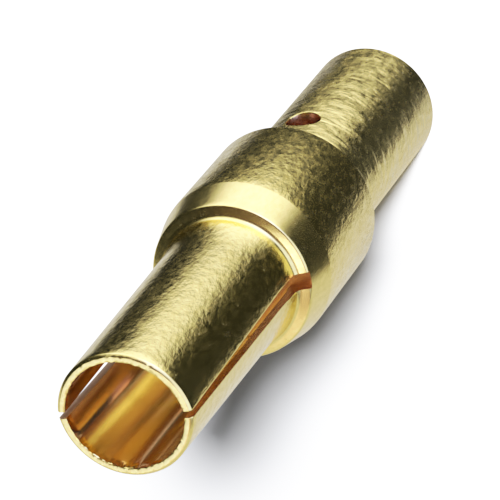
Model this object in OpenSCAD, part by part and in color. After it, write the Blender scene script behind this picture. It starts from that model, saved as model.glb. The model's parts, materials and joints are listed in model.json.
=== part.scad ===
// Turned crimp contact, with a split socket for a round pin at the top and a barrel for a wire at the foot.
// It stands on the foot of the barrel, with its axis along +Z. Sizes are in millimetres.

/* [Crimp barrel] */
// Length of the barrel, from its foot to the body's rear face
barrel_l = 8.4; // [5:0.1:16]
// Diameter of the wire bore
wire_bore_d = 2.9; // [1.6:0.05:3.6]
// Wall of the barrel around the wire bore
barrel_wall = 0.65; // [0.4:0.05:0.9]
// Width of the lead-in chamfer at the mouth of the wire bore
wire_lead_in = 0.2; // [0.05:0.05:0.3]
// Diameter of the inspection hole
hole_d = 1.1; // [0.6:0.05:1.4]
// Distance of the inspection hole's centre from the body's rear face
hole_setback = 2.25; // [1:0.05:3.5]
// Depth that the wire bore runs on past the inspection hole
wire_stop = 0.3; // [0.1:0.05:1]

/* [Body] */
// Length of the largest cylinder
body_l = 4.3; // [2:0.1:9]

/* [Collar] */
// Length of the cone in front of the body
cone_l = 1.2; // [0.6:0.1:3]
// Height that the cone climbs from the collar's face to the body
cone_rise = 0.25; // [0.05:0.05:0.6]
// Step from the outside of the socket to the edge of the collar's face
collar_step = 0.45; // [0.3:0.05:0.8]
// Height that the collar's face climbs from its edge to the root of the tines
face_rise = 0.12; // [0.02:0.02:0.3]

/* [Split socket] */
// Length of the tines, from the edge of the collar's face to the mouth
tine_l = 8.8; // [4:0.1:14]
// Diameter of the bore between the tines, before they are pinched
socket_bore_d = 3.6; // [3:0.05:4.2]
// Wall of the tines
socket_wall = 0.25; // [0.15:0.01:0.4]
// Radius of the fillet at the root of the tines
root_fillet = 0.2; // [0.03:0.01:0.2]
// Width of the slots at their root
slot_w = 0.52; // [0.3:0.02:0.8]
// Width that the pinched tines leave of the slots at the mouth
slot_mouth_w = 0.18; // [0.06:0.02:0.3]
// Depth that the slots run on behind the edge of the collar's face
slot_overrun = 0.12; // [0.02:0.02:0.3]
// Diameter of the saw disc, which leaves a hollow floor in the ends of the slots
saw_d = 20; // [14:1:40]
// Ledge from the tines' bore in to the unsplit bore behind them
seat_ledge = 0.05; // [0.02:0.01:0.3]
// Depth of the unsplit bore, which ends flat, behind the edge of the collar's face
seat_l = 2.15; // [0.6:0.05:3]

/* [Edges] */
// Chamfer on the outer edges of the barrel, body and collar
edge_break = 0.06; // [0.02:0.01:0.1]
// Chamfer on the outer edge of the socket's mouth
mouth_break = 0.08; // [0.02:0.01:0.1]

/* [Hidden] */
$fn = 96;

// Included angle of the drill point in the wire bore
drill_angle = 118;
// Depth that the tines are rooted in the collar
tine_root = 0.4;
// Overlap of a cutting shape past the face that it opens
overcut = 0.1;

wire_bore_r = wire_bore_d / 2;
barrel_r = wire_bore_r + barrel_wall;
socket_bore_r = socket_bore_d / 2;
socket_r = socket_bore_r + socket_wall;
collar_r = socket_r + collar_step;
body_r = collar_r + cone_rise;
fillet_r = socket_r + root_fillet;
face_r = collar_r - edge_break;

body_z = barrel_l;
cone_z = body_z + body_l;
face_z = cone_z + cone_l;
mouth_z = face_z + tine_l;
hole_z = body_z - hole_setback;
wire_bore_l = hole_z + hole_d / 2 + wire_stop;

// The collar's face climbs at this angle, and the fillet at the root of the tines runs out on it
face_angle = atan(face_rise / (face_r - socket_r));
fillet_z = face_z + tan(face_angle) * (face_r - fillet_r) + root_fillet / cos(face_angle);
foot_r = fillet_r - root_fillet * sin(face_angle);

// Each tine's mouth moves in by half of what the slot loses
pinch = (slot_w - slot_mouth_w) / 2;
pinch_angle = asin(pinch / tine_l);

// Half section of the barrel, body and collar, with their outer edges broken
module turned_outline() {
    polygon([
        [0, 0],
        [barrel_r - edge_break, 0],
        [barrel_r, edge_break],
        [barrel_r, body_z],
        [body_r - edge_break, body_z],
        [body_r, body_z + edge_break],
        [body_r, cone_z],
        [collar_r, face_z - edge_break],
        [face_r, face_z],
        [socket_r, face_z + face_rise],
        [socket_bore_r, face_z + face_rise],
        [socket_bore_r, face_z],
        [0, face_z]
    ]);
}

// Bore drilled from the foot, with a lead-in chamfer and the drill's point at its bottom
module wire_bore() {
    point_l = wire_bore_r / tan(drill_angle / 2);
    cylinder(r1 = wire_bore_r + wire_lead_in, r2 = wire_bore_r, h = wire_lead_in);
    translate([0, 0, -overcut]) cylinder(r = wire_bore_r, h = wire_bore_l + overcut);
    translate([0, 0, wire_bore_l]) cylinder(r1 = wire_bore_r, r2 = 0, h = point_l);
}

// Unsplit end of the socket's bore, behind the tines
module socket_seat() {
    seat_r = socket_bore_r - seat_ledge;
    translate([0, 0, face_z - seat_l]) cylinder(r = seat_r, h = seat_l + overcut);
}

// Round hole through one wall of the barrel, a quarter turn from the slots
module inspection_hole() {
    translate([0, 0, hole_z]) rotate([90, 0, 0]) cylinder(d = hole_d, h = barrel_r + overcut);
}

// Ends of the two slots, where the saw disc ran on into the collar
module slot_ends() {
    saw_r = saw_d / 2;
    saw_z = face_z - slot_overrun + sqrt(saw_r * saw_r - face_r * face_r);
    translate([0, slot_w / 2, saw_z]) rotate([90, 0, 0]) cylinder(r = saw_r, h = slot_w);
}

module shank() {
    difference() {
        rotate_extrude() turned_outline();
        wire_bore();
        inspection_hole();
        socket_seat();
        slot_ends();
    }
}

// Half section of a tine, with the fillet that runs out on the collar's face and the root inside the collar
module tine_outline() {
    root_z = face_z - tine_root;
    difference() {
        union() {
            translate([socket_bore_r, root_z]) square([socket_wall, tine_root + tine_l]);
            translate([socket_bore_r, root_z]) square([foot_r - socket_bore_r, fillet_z - root_z]);
        }
        translate([fillet_r, fillet_z]) circle(r = root_fillet);
        polygon([
            [socket_r - mouth_break, mouth_z],
            [socket_r, mouth_z - mouth_break],
            [fillet_r, mouth_z - mouth_break],
            [fillet_r, mouth_z + overcut],
            [socket_r - mouth_break, mouth_z + overcut]
        ]);
    }
}

// The tine on the +Y side: half of a tube, bent in about the outside of its root
module tine() {
    translate([0, socket_r, face_z]) rotate([pinch_angle, 0, 0]) translate([0, -socket_r, -face_z])
        intersection() {
            rotate_extrude() tine_outline();
            translate([-body_r, slot_w / 2, 0]) cube([2 * body_r, body_r, mouth_z + overcut]);
        }
}

module crimp_contact() {
    color("gold") union() {
        shank();
        tine();
        mirror([0, 1, 0]) tine();
    }
}

crimp_contact();
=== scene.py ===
# %% [markdown]
# # A gold-plated crimp contact
# A contact like this is turned on a lathe from one bar of brass, drilled from both ends, sawn to make the
# two spring tines, pinched at the mouth and then plated with gold. This lesson models it in the same order.
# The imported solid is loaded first, because the model has to sit exactly where the solid sits.

import json
import math

import bmesh
import bpy
from mathutils import Matrix, Vector


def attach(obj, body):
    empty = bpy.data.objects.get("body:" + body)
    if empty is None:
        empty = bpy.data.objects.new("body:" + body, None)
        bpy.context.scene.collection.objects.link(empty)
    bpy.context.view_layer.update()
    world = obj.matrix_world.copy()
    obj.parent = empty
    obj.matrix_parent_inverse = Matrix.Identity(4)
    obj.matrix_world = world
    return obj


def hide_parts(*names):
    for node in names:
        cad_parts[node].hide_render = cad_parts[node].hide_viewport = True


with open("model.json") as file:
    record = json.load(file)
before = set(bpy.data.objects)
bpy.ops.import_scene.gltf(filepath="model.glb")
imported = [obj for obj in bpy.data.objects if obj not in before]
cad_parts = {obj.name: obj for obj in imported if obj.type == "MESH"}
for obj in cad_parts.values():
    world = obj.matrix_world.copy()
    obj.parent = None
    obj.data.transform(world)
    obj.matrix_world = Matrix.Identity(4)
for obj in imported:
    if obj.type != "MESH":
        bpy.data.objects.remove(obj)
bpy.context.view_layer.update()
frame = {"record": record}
MM = 0.001

# %% [markdown]
# ## Sizes
# A lathe drawing gives a few diameters and lengths, and the rest follows from them. Sizes that the packed
# record states are read from it. The others repeat the solid's, here or where they are first needed. All
# modelling below is done in millimetres, because Blender's edit tools have small tolerances of their own,
# and a part of 20 mm would come close to them in metres. The finished mesh is brought to metres later.

# %% Main sizes in millimetres
mounts = {mount["name"]: mount for mount in frame["record"]["mounts"]}
wire_bore_r = mounts["wire_bore"]["dims"]["r_mm"]
seat_r = mounts["socket_bore"]["dims"]["r_mm"]
seat_l = mounts["socket_bore"]["dims"]["length_mm"]
body_r = mounts["body_seat"]["dims"]["r_mm"]
body_z = mounts["rear_shoulder"]["pos_m"][2] / MM

barrel_wall = 0.65
body_l = 4.3
cone_l = 1.2
cone_rise = 0.25
tine_l = 8.8
seat_ledge = 0.05
socket_wall = 0.25

barrel_r = wire_bore_r + barrel_wall
cone_z = body_z + body_l
face_z = cone_z + cone_l
mouth_z = face_z + tine_l
collar_r = body_r - cone_rise
socket_bore_r = seat_r + seat_ledge
socket_r = socket_bore_r + socket_wall
print(f"contact {mouth_z:.1f} mm long, {2 * body_r:.1f} mm across the body")

# %% [markdown]
# ## Edit mode by code
# By hand one would tab into edit mode and click on a ring of edges. A script does the same in three steps:
# make one object active, enter edit mode with nothing selected, and select whatever passes a test on its
# place. These small helpers keep that in one spot, so that no operator works on a leftover selection.

# %% Helpers for edit mode
def start_clean():
    if bpy.context.object and bpy.context.object.mode != "OBJECT":
        bpy.ops.object.mode_set(mode="OBJECT")
    bpy.ops.object.select_all(action="DESELECT")


def edit(piece, mode="EDGE"):
    start_clean()
    bpy.context.view_layer.objects.active = piece
    piece.select_set(True)
    bpy.ops.object.mode_set(mode="EDIT")
    bpy.ops.mesh.select_mode(type=mode)
    bpy.ops.mesh.select_all(action="DESELECT")


def select_where(piece, kind, test):
    mesh = bmesh.from_edit_mesh(piece.data)
    chosen = [item for item in getattr(mesh, kind) if test(item)]
    for item in chosen:
        item.select = True
    mesh.select_flush_mode()
    bmesh.update_edit_mesh(piece.data)
    return len(chosen)


start_clean()
print("edit-mode helpers ready, with nothing selected")

# %% [markdown]
# ## Turning the shank
# Barrel, body and collar are one turned shape: a row of circles of different size, one behind the other.
# Spin around a half outline would give it too, but leaves a seam to merge. Here one circle is extruded from
# station to station and scaled at each, so every ring is whole. Two rings beside the inspection hole and
# one on the cone only keep the later cuts from drawing thin faces over the long walls. The last stretch of
# the body has a faint crown, which bends the reflections there.

# %% Crown of the body and slope of the collar's face
crown_l = 0.35
crown_drop = 0.012
crown_steps = 4
crown_r = body_r - crown_drop
crown = []
for k in range(crown_steps + 1):
    along = k / crown_steps
    crown.append((body_r - crown_drop * along ** 2, cone_z - crown_l * (1 - along)))

edge_break = 0.06
face_rise = 0.12
face_r = collar_r - edge_break
face_slope = face_rise / (face_r - socket_r)
face_angle = math.atan(face_slope)


def face_height(r):
    return face_z + face_slope * (face_r - r)


corner_z = face_height(collar_r)
print(f"the collar's face climbs at {math.degrees(face_angle):.1f} degrees")

# %% Turn a circle through stations of radius and height
ring_points = 256


def turn(name, stations):
    start_clean()
    r, z = stations[0]
    bpy.ops.mesh.primitive_circle_add(vertices=ring_points, radius=r, location=(0, 0, z))
    piece = bpy.context.object
    piece.name = name
    bpy.ops.object.transform_apply(location=True)
    bpy.ops.object.mode_set(mode="EDIT")
    bpy.ops.mesh.select_mode(type="EDGE")
    bpy.ops.mesh.select_all(action="SELECT")
    for next_r, next_z in stations[1:]:
        bpy.ops.mesh.extrude_edges_move(TRANSFORM_OT_translate={"value": (0, 0, next_z - z)})
        scale = next_r / r
        bpy.ops.transform.resize(value=(scale, scale, 1), center_override=(0, 0, next_z))
        r, z = next_r, next_z
    return piece


print("each turned ring has", ring_points, "points")

# %% Turn the shank
wire_lead_in = 0.2
wire_stop = 0.3
hole_r = 0.55
hole_setback = 2.25
hole_margin = 0.14
slot_overrun = 0.12
cone_ring_gap = 0.1
face_overlap = 0.12

hole_z = body_z - hole_setback
hole_rings = (hole_z - hole_r - hole_margin, hole_z + hole_r + hole_margin)
wire_bore_l = hole_z + hole_r + wire_stop
face_inner_r = socket_r - face_overlap
cone_ring_z = face_z - slot_overrun - cone_ring_gap
cone_ring_r = collar_r + (crown_r - collar_r) * (corner_z - cone_ring_z) / (corner_z - cone_z)
shank = turn("turned_contact", [
    (wire_bore_r, wire_bore_l),
    (wire_bore_r, hole_rings[1]),
    (wire_bore_r, hole_rings[0]),
    (wire_bore_r, wire_lead_in),
    (wire_bore_r + wire_lead_in, 0),
    (barrel_r, 0),
    (barrel_r, hole_rings[0]),
    (barrel_r, hole_rings[1]),
    (barrel_r, body_z),
    (body_r, body_z),
    *crown,
    (cone_ring_r, cone_ring_z),
    (collar_r, corner_z),
    (face_inner_r, face_height(face_inner_r)),
    (face_inner_r, face_z),
    (seat_r, face_z),
    (seat_r, face_z - seat_l),
])
print("shank turned, up to the collar's corner at", round(corner_z, 2), "mm")

# %% [markdown]
# ## Bottoms of the bores
# Both bottoms are hidden in the photo. The socket's bore ends flat here, because that shape gives bands of
# light like those in the photo's bore: the open ring at its end gets one flat face. The wire bore ends as a
# drill leaves it, in a shallow cone: its ring is extruded to the cone's depth and merged to its centre. Both
# ends then close the skin.

# %% Close both bores
drill_angle = math.radians(118)
slack = 1e-3


def radius(co):
    return math.hypot(co.x, co.y)


def on_ring(edge, ring_r, ring_z):
    return all(abs(radius(v.co) - ring_r) < slack and abs(v.co.z - ring_z) < slack for v in edge.verts)


def pick_end(piece, bore_r, bottom_z):
    bpy.ops.mesh.select_all(action="DESELECT")
    return select_where(piece, "edges", lambda e: e.is_boundary and on_ring(e, bore_r, bottom_z))


flat_edges = pick_end(shank, seat_r, face_z - seat_l)
bpy.ops.mesh.edge_face_add()
point_edges = pick_end(shank, wire_bore_r, wire_bore_l)
point_l = wire_bore_r / math.tan(drill_angle / 2)
bpy.ops.mesh.extrude_edges_move(TRANSFORM_OT_translate={"value": (0, 0, point_l)})
bpy.ops.mesh.merge(type="CENTER")
bpy.ops.mesh.select_all(action="SELECT")
bpy.ops.mesh.normals_make_consistent(inside=False)
print(f"closed rings of {flat_edges} and {point_edges} edges, one flat and one {point_l:.2f} mm deep")

# %% [markdown]
# ## Broken edges
# No turned edge is perfectly sharp: each is broken with a file or in the tumbler, and that small round is
# what catches the light. A Bevel modifier would treat all edges alike, so the rings are bevelled in groups,
# each with its own width.

# %% Round the shank's edges
crown_round = 0.02
lead_in_round = 0.03


def soften(piece, rings, width, segments=2):
    edit(piece)
    found = select_where(piece, "edges", lambda e: any(on_ring(e, r, z) for r, z in rings))
    bpy.ops.mesh.bevel(offset=width, segments=segments, profile=0.5, affect="EDGES")
    print(piece.name, "rounded", found, "edges by", width, "mm")


soften(shank, [(barrel_r, 0), (body_r, body_z), (collar_r, corner_z)], edge_break, segments=4)
soften(shank, [(crown_r, cone_z)], crown_round)
soften(shank, [(wire_bore_r + wire_lead_in, 0), (wire_bore_r, wire_lead_in)], lead_in_round)
start_clean()

# %% [markdown]
# ## Spring tines
# The tines start as a plain tube with a fillet at its root. A saw splits the tube, and the halves are then
# pinched until the slots almost close at the mouth. Each tine here is half of such a tube: bisect makes the
# sawn faces, a small bevel breaks the sawn edges, and a turn about the outside of the root makes the pinch.
# The root itself stays where it is, so that it still meets the collar all round. Just above the fillet the
# outside flares a little, which tilts it enough to show the white patch that the photo has there.

# %% Outline of the tube wall
wall_steps = 26
flare_steps = 6
fillet_steps = 9
flare_l = 1.2
flare_out = 0.07
root_fillet = 0.2
tine_root = 0.4
foot_lift = 0.002
mouth_break = 0.08

root_z = face_z - tine_root
fillet_r = socket_r + flare_out + root_fillet
fillet_z = face_height(fillet_r) + root_fillet / math.cos(face_angle) + foot_lift


def climb(r, low, high):
    return [(r, low + (high - low) * k / wall_steps) for k in range(1, wall_steps + 1)]


fillet = []
for k in range(fillet_steps + 1):
    turned = face_angle + (math.pi / 2 - face_angle) * k / fillet_steps
    fillet.append((fillet_r - root_fillet * math.sin(turned), fillet_z - root_fillet * math.cos(turned)))
flare = []
for k in range(1, flare_steps + 1):
    along = k / flare_steps
    flare.append((socket_r + flare_out * (1 - along) ** 2, fillet_z + flare_l * along))
outside = climb(socket_r, fillet_z + flare_l, mouth_z - mouth_break)
rim = [(socket_r - mouth_break, mouth_z), (socket_bore_r, mouth_z)]
inside = climb(socket_bore_r, mouth_z, root_z)
foot = [(socket_bore_r, root_z), (fillet[0][0], root_z)]
tine_stations = [*foot, *fillet, *flare, *outside, *rim, *inside]
print("tube wall has", len(tine_stations), "stations")

# %% Saw a tine out of the tube
slot_w = 0.52
weld = 1e-4
rim_round = 0.03
mouth_round = 0.02
sawn_round = 0.015
sawn_z = face_z + face_rise + root_fillet / 3


def saw_tine(name, side):
    piece = turn(name, tine_stations)
    bpy.ops.mesh.select_all(action="SELECT")
    bpy.ops.mesh.remove_doubles(threshold=weld)
    bpy.ops.mesh.normals_make_consistent(inside=False)
    soften(piece, [(socket_bore_r, mouth_z)], rim_round)
    soften(piece, [(socket_r, mouth_z - mouth_break), (socket_r - mouth_break, mouth_z)], mouth_round)
    edit(piece)
    bpy.ops.mesh.select_all(action="SELECT")
    bpy.ops.mesh.bisect(
        plane_co=(0, side * slot_w / 2, 0), plane_no=(0, side, 0),
        use_fill=True, clear_inner=True, threshold=1e-5,
    )
    bpy.ops.mesh.select_all(action="DESELECT")

    def sawn(vert):
        return abs(vert.co.y * side - slot_w / 2) < slack and vert.co.z > sawn_z

    select_where(piece, "edges", lambda e: all(sawn(v) for v in e.verts))
    bpy.ops.mesh.bevel(offset=sawn_round, segments=2, profile=0.5, affect="EDGES")
    return piece


print("slots are", slot_w, "mm wide when sawn")

# %% Make both tines and pinch them
slot_mouth_w = 0.18
bend_margin = 0.02
mouth_zone = 0.2
pinch_angle = math.asin((slot_w - slot_mouth_w) / 2 / tine_l)


def pinch(piece, side):
    edit(piece, "VERT")
    select_where(piece, "verts", lambda v: v.co.z > fillet_z + bend_margin)
    bpy.ops.transform.rotate(
        value=-side * pinch_angle, orient_axis="X", center_override=(0, side * socket_r, face_z),
    )
    start_clean()
    gap = 2 * min(abs(v.co.y) for v in piece.data.vertices if v.co.z > mouth_z - mouth_zone)
    print(piece.name, "leaves", round(gap, 3), "mm of the slot at the mouth")


tines = []
for name, side in (("tine_front", -1), ("tine_back", 1)):
    tines.append(saw_tine(name, side))
    pinch(tines[-1], side)

# %% [markdown]
# ## Cuts
# The saw disc ran a little way into the collar, where its round edge left a hollow floor, and a drill made
# the inspection hole through one wall of the barrel. A boolean with a plain disc or drill is the same
# operation as the real one. The tines are joined on last, so that the contact is one closed skin, and the
# rim of the hole is then bevelled, because the photo shows a light line around it.

# %% Cut the slot ends and the inspection hole
saw_r = 10
saw_play = 0.004
saw_z = face_z - slot_overrun + math.sqrt(saw_r ** 2 - face_r ** 2)


def combine(target, other, operation):
    start_clean()
    bpy.context.view_layer.objects.active = target
    target.select_set(True)
    bpy.ops.object.modifier_add(type="BOOLEAN")
    step = target.modifiers[-1]
    step.operation = operation
    step.solver = "EXACT"
    step.object = other
    bpy.ops.object.modifier_apply(modifier=step.name)
    bpy.data.objects.remove(other)
    print(operation.lower(), "leaves", len(target.data.polygons), "faces")


def add_disc(r, depth, location, sides):
    start_clean()
    bpy.ops.mesh.primitive_cylinder_add(
        vertices=sides, radius=r, depth=depth, location=location, rotation=(math.radians(90), 0, 0),
    )
    bpy.ops.object.transform_apply(location=True, rotation=True)
    return bpy.context.object


combine(shank, add_disc(saw_r, slot_w + saw_play, (0, 0, saw_z), sides=360), "DIFFERENCE")
combine(shank, add_disc(hole_r, 2 * barrel_r, (0, -barrel_r, hole_z), sides=96), "DIFFERENCE")

# %% Join the tines and round the rim of the hole
hole_round = 0.035
rim_slack = 2e-3


def on_hole_rim(vert):
    across = math.hypot(vert.co.x, vert.co.z - hole_z)
    return abs(across - hole_r) < rim_slack and vert.co.y < 0 and radius(vert.co) > barrel_r - rim_slack


for tine in tines:
    combine(shank, tine, "UNION")
edit(shank)
rim_edges = select_where(shank, "edges", lambda e: all(on_hole_rim(v) for v in e.verts))
bpy.ops.mesh.bevel(offset=hole_round, segments=2, profile=0.5, affect="EDGES")
print("rounded", rim_edges, "edges around the inspection hole")

# %% [markdown]
# ## Burr at the mouth
# The photo shows the inner edge of the mouth uneven, as sawing and boring can leave it. Modelling each burr
# would be slow, and its true form can't be seen. Shaking only the points of that edge, with a fixed seed,
# makes it ragged without touching the walls.

# %% Roughen the inner edge of the mouth
burr_depth = 0.06
burr_width = 0.03
burr_shake = 0.012


def on_mouth_edge(vert):
    return vert.co.z > mouth_z - burr_depth and radius(vert.co) < socket_bore_r + burr_width


edit(shank, "VERT")
burr_points = select_where(shank, "verts", on_mouth_edge)
bpy.ops.transform.vertex_random(offset=burr_shake, uniform=0.0, normal=0.0, seed=7)
print("roughened", burr_points, "points of the mouth's inner edge")

# %% [markdown]
# ## To metres
# The frame is in metres, so the whole mesh is scaled about the origin in edit mode, which leaves the object
# itself unscaled. Walls are shaded smooth and edges over 30 degrees stay crisp. Weighted normals keep the
# long walls straight beside the narrow bevels, where plain smoothing would bend the reflections.

# %% Bring the mesh to metres and smooth it
crisp_angle = math.radians(30)
edit(shank)
bpy.ops.mesh.select_all(action="SELECT")
bpy.ops.mesh.remove_doubles(threshold=weld)
bpy.ops.transform.resize(value=(MM, MM, MM), center_override=(0, 0, 0))
bpy.ops.object.mode_set(mode="OBJECT")
bpy.ops.object.shade_smooth_by_angle(angle=crisp_angle)
bpy.ops.object.modifier_add(type="WEIGHTED_NORMAL")
shank.modifiers[-1].keep_sharp = True
bpy.ops.object.modifier_apply(modifier=shank.modifiers[-1].name)
print("skin has", len(shank.data.polygons), "faces")

# %% [markdown]
# ## Nodes by code
# A material is a small graph. Adding a node, setting its values and linking its inputs is always the same
# work, so one helper does it: an input is either a plain value or the output of another node. A second
# helper opens a node group with named sockets, for effects that several finishes share. The third mixes two
# colours: a Mix node has sockets for each kind of data, and those for colours are found by their numbers.

# %% Helpers for nodes
def put(tree, kind, inputs=(), **settings):
    made = tree.nodes.new("ShaderNode" + kind)
    for name, value in settings.items():
        setattr(made, name, value)
    for key, value in dict(inputs).items():
        if isinstance(value, bpy.types.NodeSocket):
            tree.links.new(value, made.inputs[key])
        else:
            made.inputs[key].default_value = value
    return made


def new_group(name, inputs, outputs):
    group = bpy.data.node_groups.new(name, "ShaderNodeTree")
    for label, kind, value in inputs:
        socket = group.interface.new_socket(name=label, in_out="INPUT", socket_type="NodeSocket" + kind)
        socket.default_value = value
    for label, kind in outputs:
        group.interface.new_socket(name=label, in_out="OUTPUT", socket_type="NodeSocket" + kind)
    return group, group.nodes.new("NodeGroupInput").outputs, group.nodes.new("NodeGroupOutput").inputs


def mix_colours(tree, factor, first, second):
    return put(tree, "Mix", {0: factor, 6: first, 7: second}, data_type="RGBA").outputs[2]


print("node helpers ready")

# %% [markdown]
# ## Tumbled skin
# The photo shows a fine pebbled grain on the tines and the body, with some spots duller than the rest.
# Small contacts are often tumbled in bulk, where they dent each other, and that may be its cause. Real dents
# as geometry would need millions of faces, so a noise texture gives a height for bump, and a second one
# gives dull spots. The pattern is drawn out a little along the contact. Its grain is counted per metre,
# because Object coordinates are in metres.

# %% Tumbled skin as a node group
grain = 6000
drawn_out = (1, 1, 0.55)
spot_shift = (0.031, 0.017, 0.023)
skin, given, gives = new_group(
    "tumbled_skin", [("Grain", "Float", grain)], [("Height", "Float"), ("Spots", "Float")],
)
place = put(skin, "TexCoord").outputs["Object"]
rolled = put(skin, "Mapping", {"Vector": place, "Scale": drawn_out}).outputs[0]
shifted = put(skin, "Mapping", {"Vector": rolled, "Location": spot_shift}).outputs[0]
noise = {"Scale": given["Grain"], "Detail": 3, "Roughness": 0.55}
dents = put(skin, "TexNoise", {"Vector": rolled, **noise})
dull = put(skin, "TexNoise", {"Vector": shifted, **noise})
spots = put(skin, "MapRange", {"Value": dull.outputs[0], "From Min": 0.25, "From Max": 0.75})
skin.links.new(dents.outputs[0], gives["Height"])
skin.links.new(spots.outputs[0], gives["Spots"])
print("tumbled skin:", len(skin.nodes), "nodes")

# %% [markdown]
# ## Turning lines
# The photo shows the barrel as a lathe tool leaves it, with fine broken lines around it. Noise that is
# squeezed along the axis and stretched around it gives lines of uneven length and depth, more like a real
# tool's than the even stripes of a wave texture. Both counts are per metre.

# %% Turning lines as a node group
lines, given, gives = new_group(
    "turning_lines", [("Lines", "Float", 2000), ("Arcs", "Float", 800)], [("Height", "Float")],
)
place = put(lines, "TexCoord").outputs["Object"]
stretch = put(lines, "CombineXYZ", {"X": given["Arcs"], "Y": given["Arcs"], "Z": given["Lines"]})
drawn = put(lines, "VectorMath", {0: place, 1: stretch.outputs[0]}, operation="MULTIPLY")
streak = put(lines, "TexNoise", {
    "Vector": drawn.outputs[0], "Scale": 1, "Detail": 2, "Roughness": 0.5, "Distortion": 0.3,
})
lines.links.new(streak.outputs[0], gives["Height"])
print("turning lines:", len(lines.nodes), "nodes")

# %% [markdown]
# ## Gold
# A metal has no colour under its gloss: the reflection itself is tinted, so each finish is a Principled BSDF
# with full metallic. The tint is a little deeper in the dull spots. Roughness swings between a polished and
# a dull value with the same spots, so that a spot shows as a light speck in a dark reflection and as a dark
# speck in a bright one.

# %% Gold tone as a node group
tone, given, gives = new_group(
    "gold_tone",
    [("Bright", "Color", (1, 1, 1, 1)), ("Deep", "Color", (1, 1, 1, 1)), ("Spots", "Float", 0)],
    [("Colour", "Color")],
)
tone.links.new(mix_colours(tone, given["Spots"], given["Bright"], given["Deep"]), gives["Colour"])
print("gold tone:", len(tone.nodes), "nodes")

# %% One function for all finishes
MICRON = 1e-6
quarter_turn = 0.25


def gold(name, bright, deep, polished, dulled, dent_depth, line_depth=0, spread=0):
    material = bpy.data.materials.new(name)
    material.use_nodes = True
    tree = material.node_tree
    shader = tree.nodes["Principled BSDF"]
    shader.inputs["Metallic"].default_value = 1
    tumbled = put(tree, "Group", node_tree=skin)
    hue = put(tree, "Group", node_tree=tone)
    hue.inputs["Bright"].default_value = (*bright, 1)
    hue.inputs["Deep"].default_value = (*deep, 1)
    tree.links.new(tumbled.outputs["Spots"], hue.inputs["Spots"])
    tree.links.new(hue.outputs["Colour"], shader.inputs["Base Color"])
    gloss = put(tree, "MapRange", {"Value": tumbled.outputs["Spots"], "To Min": polished, "To Max": dulled})
    tree.links.new(gloss.outputs[0], shader.inputs["Roughness"])
    dented = {"Height": tumbled.outputs["Height"], "Distance": dent_depth * MICRON, "Strength": 1}
    bump = put(tree, "Bump", dented)
    if line_depth:
        turned = put(tree, "Group", node_tree=lines)
        shader.inputs["Anisotropic"].default_value = spread
        shader.inputs["Anisotropic Rotation"].default_value = quarter_turn
        lined = {"Height": turned.outputs["Height"], "Distance": line_depth * MICRON, "Strength": 1}
        tree.links.new(put(tree, "Bump", lined).outputs["Normal"], bump.inputs["Normal"])
    tree.links.new(bump.outputs["Normal"], shader.inputs["Normal"])
    print(name, "has", len(tree.nodes), "nodes")
    return material


print("finishes share", skin.name, "and", tone.name)

# %% [markdown]
# ## Seven finishes of one plating
# The tines are tumbled, the body is a little duller, and the barrel shows turning lines, which spread its
# highlight along the axis. The rims, the cone and the collar's face are cut smooth, and the socket's bore
# is the smoothest. The two slots' sides are one plating, pale on one slot and red-brown on the other from
# the light they mirror. The panels below don't give that, so it is painted light: the sides of the slot
# out along X get a pale pink painted reflection, and the other slot, the inspection hole and the wire bore
# a red-brown painted shade. The model has one material slot for each finish. Each row gives two tones, two
# roughnesses, and the depth of the dents and of any lines in microns.

# %% Make the finishes
warm_gold = (0.88, 0.71, 0.243)
deep_gold = (0.8, 0.62, 0.186)
worn_tone = (0.8, 0.61, 0.158)
bore_tone = (0.96, 0.86, 0.56)
# The next four tones are painted light: red-brown painted shade and a pale pink painted reflection
red_tone = (0.58, 0.34, 0.25)
slot_tone = (0.68, 0.42, 0.27)
dark_slot_tone = (0.64, 0.38, 0.22)
painted_sheen_pink = (0.84, 0.6, 0.38)
finishes = [
    gold("tumbled_gold", warm_gold, deep_gold, 0.09, 0.29, dent_depth=15),
    gold("worn_gold", warm_gold, worn_tone, 0.13, 0.33, dent_depth=19),
    gold("turned_gold", warm_gold, deep_gold, 0.15, 0.31, dent_depth=13, line_depth=64, spread=0.87),
    gold("cut_gold", warm_gold, deep_gold, 0.18, 0.28, dent_depth=2, line_depth=2),
    gold("bore_gold", bore_tone, red_tone, 0.12, 0.12, dent_depth=0),
    # Pale pink painted reflection on the sides of the slot out along X
    gold("sawn_gold", painted_sheen_pink, slot_tone, 0.3, 0.4, dent_depth=2),
    # Red-brown painted shade in the other slot, the inspection hole and the wire bore
    gold("slot_gold", slot_tone, dark_slot_tone, 0.2, 0.26, dent_depth=0),
]
for finish in finishes:
    shank.data.materials.append(finish)

# %% [markdown]
# ## A redder side in the bore
# The photo shows the bore red-brown beside the pale slot. On the real contact that is most likely a dark
# part of the room, mirrored several times. Here it is painted: a mask from the place along X mixes the
# bore's two tones, where the other finishes use their spots.

# %% Redden the bore beside one slot
red_from = 1.46
red_full = 1.66
tree = shank.data.materials["bore_gold"].node_tree
hue = next(node for node in tree.nodes if node.type == "GROUP" and node.node_tree == tone)
across = put(tree, "SeparateXYZ", {"Vector": put(tree, "TexCoord").outputs["Object"]}).outputs["X"]
red_side = put(tree, "MapRange", {"Value": across, "From Min": red_from * MM, "From Max": red_full * MM})
tree.links.new(red_side.outputs[0], hue.inputs["Spots"])
print("bore is redder from", red_from, "mm out along X")

# %% [markdown]
# ## Finishes by place
# By hand one would select faces and press Assign for each material slot. The contact is round, so a face's
# height, its distance from the axis and the way it faces are enough to tell which finish it has.

# %% Tell a face's finish from its place
slot_slack = 0.01
rim_depth = 0.3
rim_tilt = 0.2
rim_margin = 0.03
straight = 0.7
inward = -0.3
tiny = 1e-6


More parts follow.
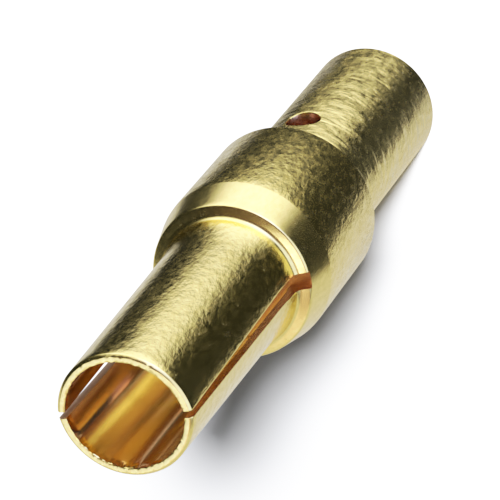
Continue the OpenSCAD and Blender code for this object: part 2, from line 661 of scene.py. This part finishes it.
def finish_of(face):
    spot = face.calc_center_median() / MM
    normal = face.normal
    r = radius(spot)
    outward = (normal.x * spot.x + normal.y * spot.y) / max(r, tiny)
    in_slot = abs(spot.y) < slot_w / 2 + slot_slack and r < collar_r and spot.z > root_z
    sawn = in_slot and (abs(normal.y) > straight or normal.z > straight and spot.z < face_z)
    in_hole = math.hypot(spot.x, spot.z - hole_z) < hole_r + slack and spot.y < 0
    on_rim = spot.z > mouth_z - rim_depth and normal.z > rim_tilt
    # Painted light by place: the slot sides out along X get the pale painted reflection
    if sawn:
        return "sawn_gold" if spot.x > 0 else "slot_gold"
    # The other slot's sides, the inspection hole and the wire bore get the red-brown painted shade
    if in_hole or spot.z < body_z and (outward < inward or r < wire_bore_r):
        return "slot_gold"
    if (outward < inward or r < seat_r) and not on_rim:
        return "bore_gold"
    if outward > straight and spot.z < body_z - slack:
        return "turned_gold"
    if outward > straight and body_z + slack < spot.z < cone_z:
        return "worn_gold"
    if outward > straight and fillet_z < spot.z < mouth_z - mouth_break - rim_margin:
        return "tumbled_gold"
    return "cut_gold"


print(len(shank.data.polygons), "faces to sort into", len(finishes), "finishes")

# %% Give each face its finish
for index, finish in enumerate(finishes):
    edit(shank, "FACE")
    covered = select_where(shank, "faces", lambda face: finish_of(face) == finish.name)
    shank.active_material_index = index
    bpy.ops.object.material_slot_assign()
    print(finish.name, "covers", covered, "faces")
start_clean()
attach(shank, "root")
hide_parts("crimp_contact")

# %% [markdown]
# ## Camera
# The camera looks steeply down on the mouth with a long lens, and is rolled so that the contact lies across
# the picture from the upper right to the lower left, as in the photo. Its angles, in degrees, and its
# distance were fitted to the edges in the photo.

# %% Camera
camera_azimuth = -45.17
camera_elevation = 58.16
camera_roll = 140.99
camera_distance = 105.772 * MM
camera_aim = Vector((0.120, -0.121, 11.805)) * MM


def direction(azimuth, elevation):
    a = math.radians(azimuth)
    e = math.radians(elevation)
    return Vector((math.sin(a) * math.cos(e), -math.cos(a) * math.cos(e), math.sin(e)))


start_clean()
bpy.ops.object.camera_add()
camera = bpy.context.object
back = direction(camera_azimuth, camera_elevation)
camera.location = camera_aim + back * camera_distance
level = (-back).to_track_quat("-Z", "Y").to_matrix()
camera.rotation_euler = (level @ Matrix.Rotation(-math.radians(camera_roll), 3, "Z")).to_euler()
camera.data.sensor_width = 36
camera.data.lens = 252
camera.data.clip_start = 1 * MM
camera.data.clip_end = 10
bpy.context.scene.camera = camera
print(f"camera stands {camera_distance / MM:.0f} mm from the contact")

# %% [markdown]
# ## Floor
# A plain pale sheet of paper, matt, with nothing on it. It shows the soft shadow. It stays out of the gold's
# reflections, where the studio panels below take its place.

# %% Floor
paper_tone = (0.87, 0.885, 0.93, 1)
start_clean()
bpy.ops.mesh.primitive_plane_add(size=1)
floor = bpy.context.object
floor.name = "floor"
floor.visible_glossy = False
floor.visible_shadow = False
paper = bpy.data.materials.new("pale_floor")
paper.use_nodes = True
matt = paper.node_tree.nodes["Principled BSDF"].inputs
matt["Base Color"].default_value = paper_tone
matt["Roughness"].default_value = 1
matt["Specular IOR Level"].default_value = 0
floor.data.materials.append(paper)
print("floor laid")

# %% [markdown]
# ## Light
# Polished metal shows its surroundings more than its light, so the studio is built from round soft panels
# around the contact, painted into the world's background: each has a direction, a reach and a soft edge in
# degrees. They were placed by comparing renders with the photo. A soft sun adds the shadow on the paper. It
# is left out of the reflections.

# %% Sun for the shadow
sun_azimuth = -33
sun_elevation = 56
sun_width = 10
start_clean()
bpy.ops.object.light_add(type="SUN")
sun = bpy.context.object
sun.rotation_euler = direction(sun_azimuth, sun_elevation).to_track_quat("Z", "Y").to_euler()
sun.data.energy = 9.2
sun.data.angle = math.radians(sun_width)
sun.visible_glossy = False
print("sun set,", sun_width, "degrees wide")

# %% World for the studio
world = bpy.data.worlds.new("studio")
bpy.context.scene.world = world
world.use_nodes = True
world.cycles.sampling_method = "NONE"
tree = world.node_tree
tree.nodes.clear()
place = put(tree, "TexCoord").outputs["Generated"]


def panel(azimuth, elevation, reach, edge, strength, tint):
    dot = put(tree, "VectorMath", {0: place, 1: direction(azimuth, elevation)}, operation="DOT_PRODUCT")
    mask = put(tree, "MapRange", {
        "Value": dot.outputs["Value"],
        "From Min": math.cos(math.radians(reach + edge / 2)),
        "From Max": math.cos(math.radians(reach - edge / 2)),
        "To Max": strength,
    }, interpolation_type="SMOOTHSTEP").outputs[0]
    return put(tree, "VectorMath", {0: tint, "Scale": mask}, operation="SCALE").outputs[0]


print("world", world.name, "ready for its panels")

# %% Studio panels in the background
white = (1, 1, 1)
cool_white = (1, 1.03, 1.14)
rim_white = (1, 1.1, 1.5)
warm_white = (1, 0.7, 0.72)
fillet_white = (1, 1.15, 1.8)
root_white = (1, 1.2, 2.6)
face_red = (1, 0.6, 0.6)
panels = [
    # Long highlight on the front, and the bright edges on both sides
    panel(azimuth=-5.7, elevation=-13.5, reach=37.7, edge=33, strength=3.1, tint=cool_white),
    panel(azimuth=163.5, elevation=-15.3, reach=68.5, edge=4, strength=0.9, tint=white),
    # White end of the collar's face
    panel(azimuth=-145, elevation=77, reach=12, edge=4, strength=3.8, tint=cool_white),
    # Rim of the mouth and the yellow streak in the bore, then the bore's amber and the sides of the slot
    panel(azimuth=131, elevation=57, reach=16, edge=6, strength=1.5, tint=rim_white),
    panel(azimuth=-160, elevation=57, reach=26, edge=36, strength=0.74, tint=warm_white),
    # Fillet beside the slot, brown of the collar's face, and front of the fillet
    panel(azimuth=-90, elevation=20, reach=30, edge=16, strength=1.6, tint=fillet_white),
    panel(azimuth=-35, elevation=60, reach=30, edge=40, strength=0.16, tint=face_red),
    panel(azimuth=-35, elevation=20, reach=20, edge=14, strength=2.2, tint=root_white),
]
dark_room = (0.029, 0.031, 0.0285)
studio = dark_room
for light in panels:
    studio = put(tree, "VectorMath", {0: light, 1: studio}, operation="ADD").outputs[0]
print(len(panels), "panels in the studio")

# %% Show the panels to the gold, and white paper to the camera
paper_white = 2.2
soft_fill = 0.12
path = put(tree, "LightPath").outputs
plain = put(tree, "Math", {0: path["Is Camera Ray"], 1: paper_white}, operation="MULTIPLY").outputs[0]
fill = put(tree, "Math", {0: path["Is Diffuse Ray"], 1: soft_fill}, operation="MULTIPLY").outputs[0]
rest = put(tree, "Math", {0: plain, 1: fill}, operation="ADD").outputs[0]
chosen = mix_colours(tree, path["Is Glossy Ray"], rest, studio)
background = put(tree, "Background", {"Color": chosen, "Strength": 1})
put(tree, "OutputWorld", {"Surface": background.outputs[0]})
print("background has", len(tree.nodes), "nodes")

# %% [markdown]
# ## Bounces and tone
# Light reaches the bottom of the bore only after many reflections, so more glossy bounces are allowed than
# usual. The Standard view shows dark and middle tones as they are. A curve with a soft shoulder, up to twice
# the usual white, keeps some colour in the bright reflections.

# %% Bounces and tone
scene = bpy.context.scene
scene.cycles.glossy_bounces = 10
scene.cycles.max_bounces = 20
scene.view_settings.view_transform = "Standard"
scene.view_settings.look = "None"
scene.view_settings.exposure = 0
white_level = 2
shoulder = [(0.1, 0.2), (0.2, 0.4), (0.35, 0.6), (0.5, 0.755), (0.75, 0.93)]
scene.view_settings.use_curve_mapping = True
tone_curve = scene.view_settings.curve_mapping
tone_curve.white_level = (white_level, white_level, white_level)
combined = tone_curve.curves[-1]
for x, y in shoulder:
    combined.points.new(x, y)
tone_curve.update()
print("tone:", scene.view_settings.view_transform)

# %% [markdown]
